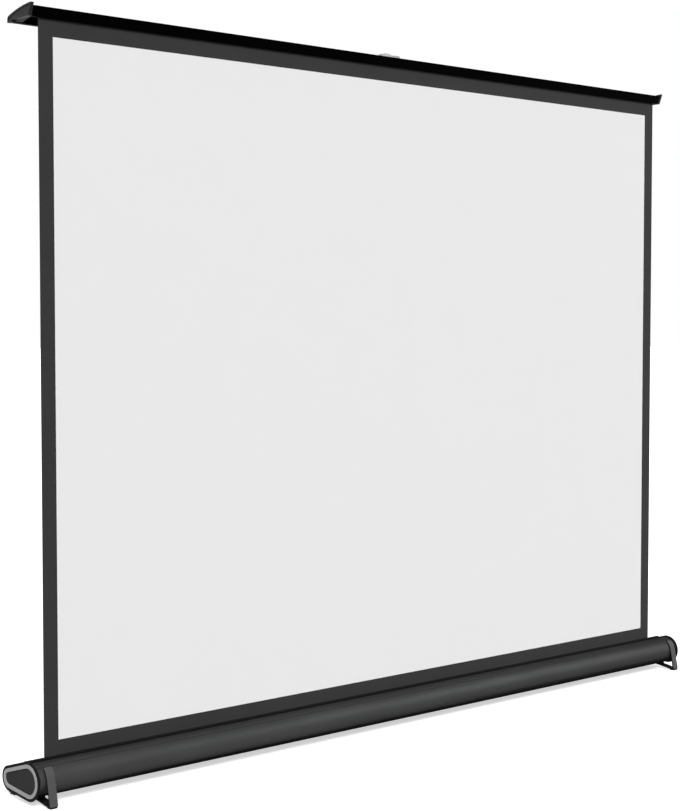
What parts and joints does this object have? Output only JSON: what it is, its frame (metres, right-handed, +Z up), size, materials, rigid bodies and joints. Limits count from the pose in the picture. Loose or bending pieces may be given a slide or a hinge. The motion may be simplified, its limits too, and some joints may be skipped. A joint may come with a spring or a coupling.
{
  "type": "tabletop projection screen",
  "caption": "Free-standing tabletop projection screen: a drop-shaped base with a spring roller, a bordered fabric and a bar on a folding arm.",
  "frame": {"origin": "on the table, under the middle of the fabric", "axes": "+X along the base to the viewer's right, +Y from the picture side to the back, +Z up"},
  "size_m": [1.1093, 0.0852, 0.8604],
  "materials": {
    "charcoal_anodised": "satin anodised",
    "black_anodised": "satin anodised",
    "dark_plastic": "fine texture",
    "foot_plastic": "satin",
    "grey_plastic": "satin",
    "light_plastic": "satin",
    "black_rubber": "matt",
    "zinc_steel": "zinc plated",
    "white_fabric": "matt white with a black border",
    "black_fabric": "matt black"
  },
  "bodies": {
    "base": {"housing": "charcoal_anodised", "slot_seal": "black_rubber", "end_cap_left": "dark_plastic", "end_cap_right": "dark_plastic", "trim_ring_left": "grey_plastic", "trim_ring_right": "grey_plastic", "face_plate_left": "dark_plastic", "face_plate_right": "dark_plastic", "foot_bracket_left": "foot_plastic", "foot_bracket_right": "foot_plastic", "foot_pad_left_front": "black_rubber", "foot_pad_left_rear": "black_rubber", "foot_pad_right_front": "black_rubber", "foot_pad_right_rear": "black_rubber", "cap_screw_left_front": "zinc_steel", "cap_screw_left_rear": "zinc_steel", "cap_screw_right_front": "zinc_steel", "cap_screw_right_rear": "zinc_steel", "roller_arbor": "zinc_steel", "idler_pin": "zinc_steel", "roller_spring": "zinc_steel", "arm_bracket": "zinc_steel", "arm_pin": "zinc_steel", "arm_screw_left": "zinc_steel", "arm_screw_right": "zinc_steel", "arm_washer": "dark_plastic", "screen_fabric": "white_fabric"},
    "roller": {"roller_tube": "zinc_steel", "roller_plug_left": "dark_plastic", "roller_plug_right": "dark_plastic", "fabric_wraps": "black_fabric"},
    "lower_arm": {"lower_arm": "zinc_steel", "knee_pin": "zinc_steel", "knee_washer": "dark_plastic", "knee_stop": "zinc_steel"},
    "upper_arm": {"upper_arm": "zinc_steel"},
    "top_bar": {"top_bar": "black_anodised", "bar_cap_left": "dark_plastic", "bar_cap_right": "dark_plastic", "hem_rod": "dark_plastic", "bar_bracket": "zinc_steel", "bar_pin": "zinc_steel", "bar_screw_left": "zinc_steel", "bar_screw_right": "zinc_steel", "tab_block": "grey_plastic", "tab_pin": "zinc_steel"},
    "pull_tab": {"pull_tab": "light_plastic"}
  },
  "joints": [
    {"name": "arm_fold", "type": "hinge", "parent": "base", "child": "lower_arm", "pos_m": [0, 0.01095, 0.0245], "axis": [0, 1, 0], "range_deg": [0, 88.7], "deforming": ["screen_fabric"]},
    {"name": "knee_fold", "type": "hinge", "parent": "lower_arm", "child": "upper_arm", "pos_m": [0, 0.01095, 0.43184], "axis": [0, 1, 0], "range_deg": [-178, 0]},
    {"name": "bar_level", "type": "hinge", "parent": "upper_arm", "child": "top_bar", "pos_m": [0, 0.01585, 0.83918], "axis": [0, 1, 0], "range_deg": [0, 89]},
    {"name": "roller_spin", "type": "hinge", "parent": "base", "child": "roller", "pos_m": [0, -0.0165, 0.027], "axis": [1, 0, 0], "range_deg": [-3480, 0]},
    {"name": "tab_flip", "type": "hinge", "parent": "top_bar", "child": "pull_tab", "pos_m": [0.0037, 0.01, 0.85618], "axis": [0, 1, 0], "range_deg": [0, 90]}
  ],
  "couplings": [
    {"joint": "knee_fold", "follows": "arm_fold", "ratio": -2},
    {"joint": "bar_level", "follows": "arm_fold", "ratio": 1},
    {"joint": "roller_spin", "follows": "arm_fold", "ratio": -39}
  ]
}
